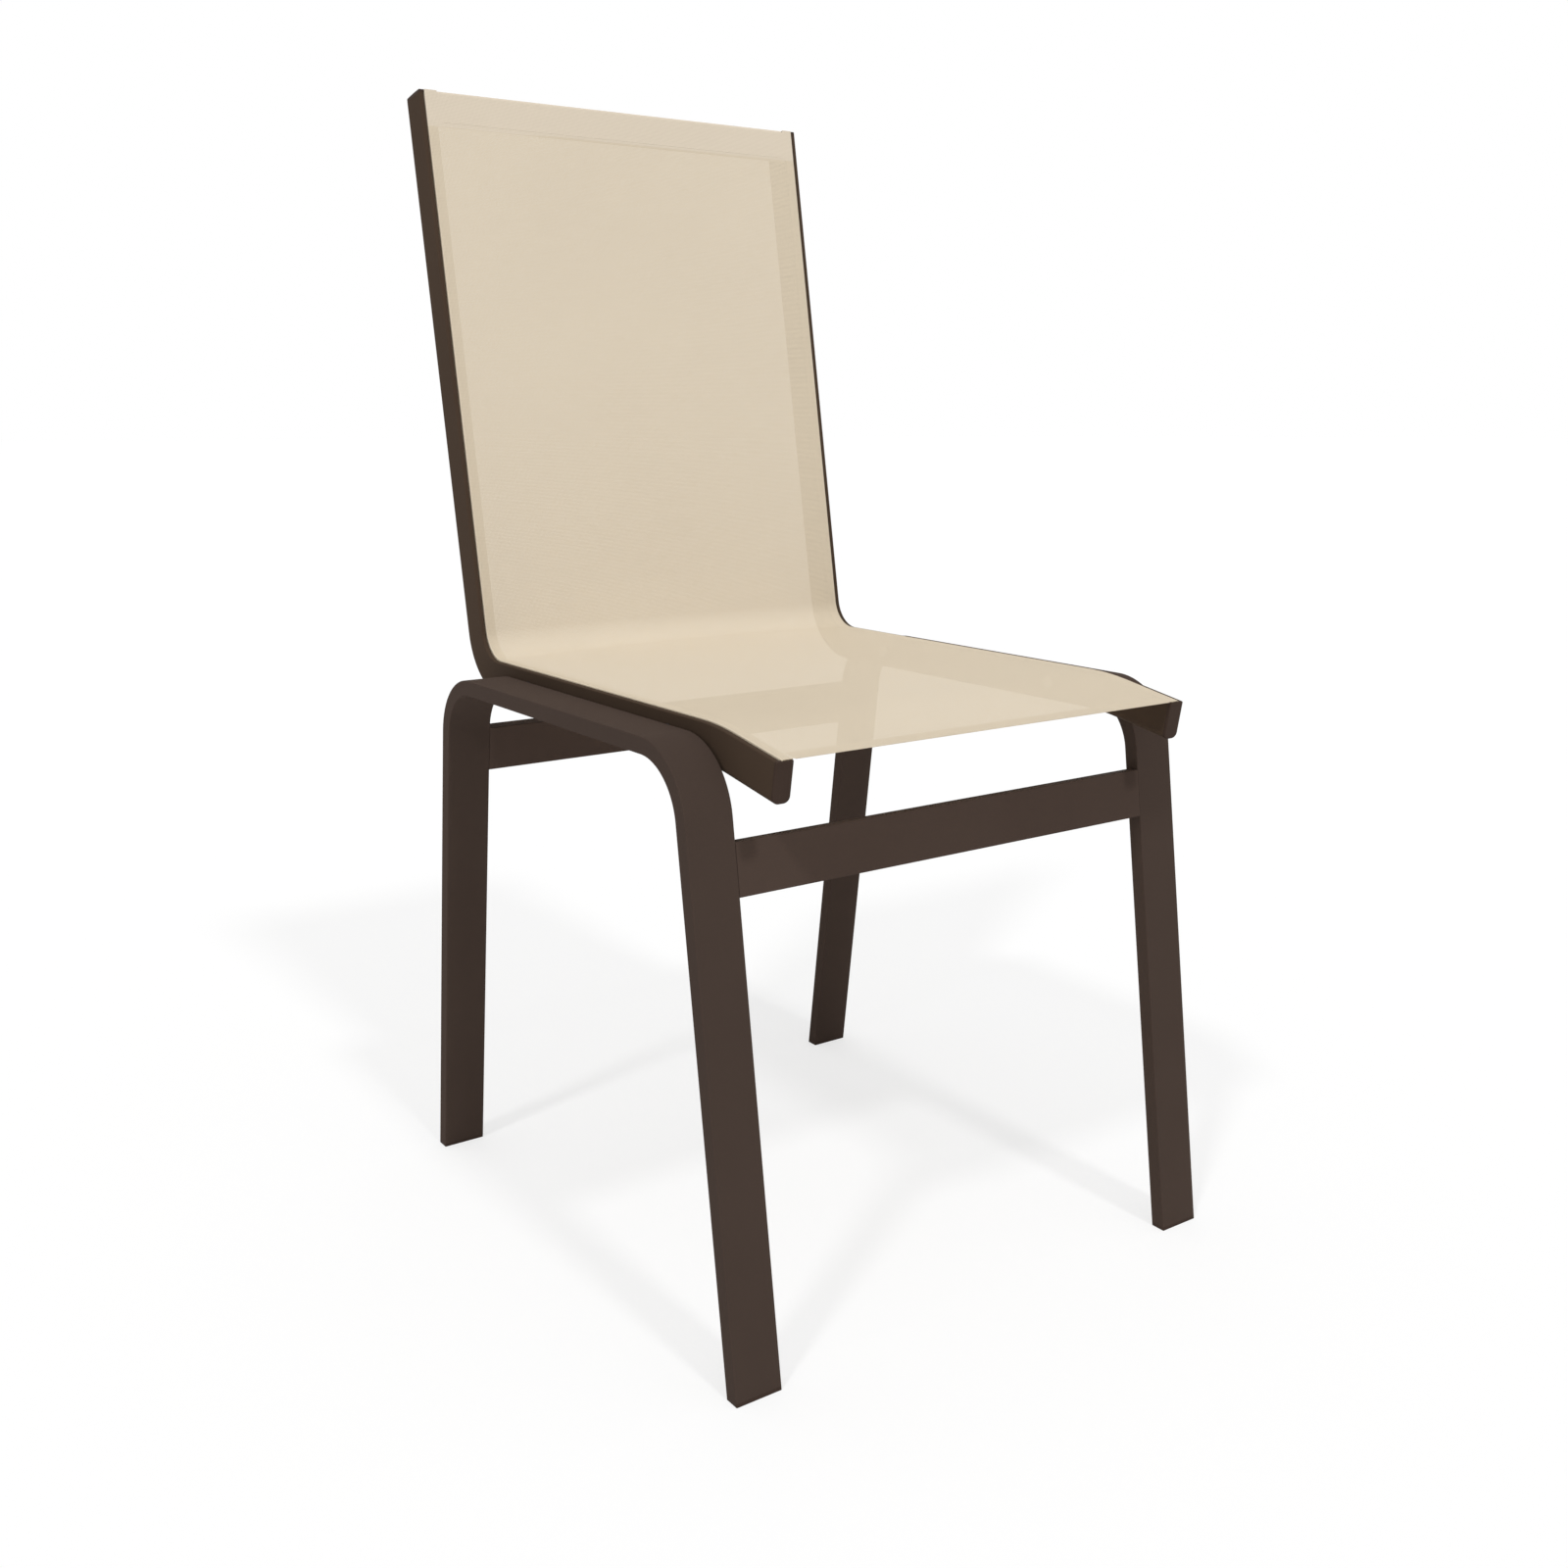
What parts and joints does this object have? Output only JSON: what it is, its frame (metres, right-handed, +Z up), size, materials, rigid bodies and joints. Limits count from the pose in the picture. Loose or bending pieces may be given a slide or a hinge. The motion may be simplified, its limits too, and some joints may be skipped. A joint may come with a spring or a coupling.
{
  "type": "sling patio chair",
  "caption": "Armless patio dining chair with bent flat-tube leg frames and bent side rails that stretch a mesh sling as seat and back.",
  "frame": {"origin": "middle of the chair's floor rectangle, at floor level", "axes": "+Z up, -Y the way the sitter faces, +X to the sitter's left"},
  "size_m": [0.476, 0.5726, 0.9532],
  "materials": {
    "powder_coat": "dark brown powder coat",
    "sling_mesh": "woven vinyl-coated mesh, cream",
    "keder": "extruded",
    "moulded_plastic": "moulded, dark brown",
    "spacer_nylon": "moulded, black",
    "stainless": "plain",
    "mill_aluminium": "mill"
  },
  "bodies": {
    "root": {"left_leg_frame": "powder_coat", "left_sling_rail": "powder_coat", "left_rail_top_cap": "moulded_plastic", "left_rail_front_cap": "moulded_plastic", "left_keder_rod": "keder", "left_spreader_plug": "moulded_plastic", "left_front_foot_plug": "moulded_plastic", "left_front_rail_screw": "stainless", "left_front_rail_spacer": "spacer_nylon", "left_front_rivet_nut": "stainless", "left_rear_foot_plug": "moulded_plastic", "left_rear_rail_screw": "stainless", "left_rear_rail_spacer": "spacer_nylon", "left_rear_rivet_nut": "stainless", "right_leg_frame": "powder_coat", "right_sling_rail": "powder_coat", "right_rail_top_cap": "moulded_plastic", "right_rail_front_cap": "moulded_plastic", "right_keder_rod": "keder", "right_spreader_plug": "moulded_plastic", "right_front_foot_plug": "moulded_plastic", "right_front_rail_screw": "stainless", "right_front_rail_spacer": "spacer_nylon", "right_front_rivet_nut": "stainless", "right_rear_foot_plug": "moulded_plastic", "right_rear_rail_screw": "stainless", "right_rear_rail_spacer": "spacer_nylon", "right_rear_rivet_nut": "stainless", "front_stretcher": "powder_coat", "rear_stretcher": "powder_coat", "spreader_bar": "mill_aluminium", "sling": "sling_mesh"}
  },
  "joints": []
}
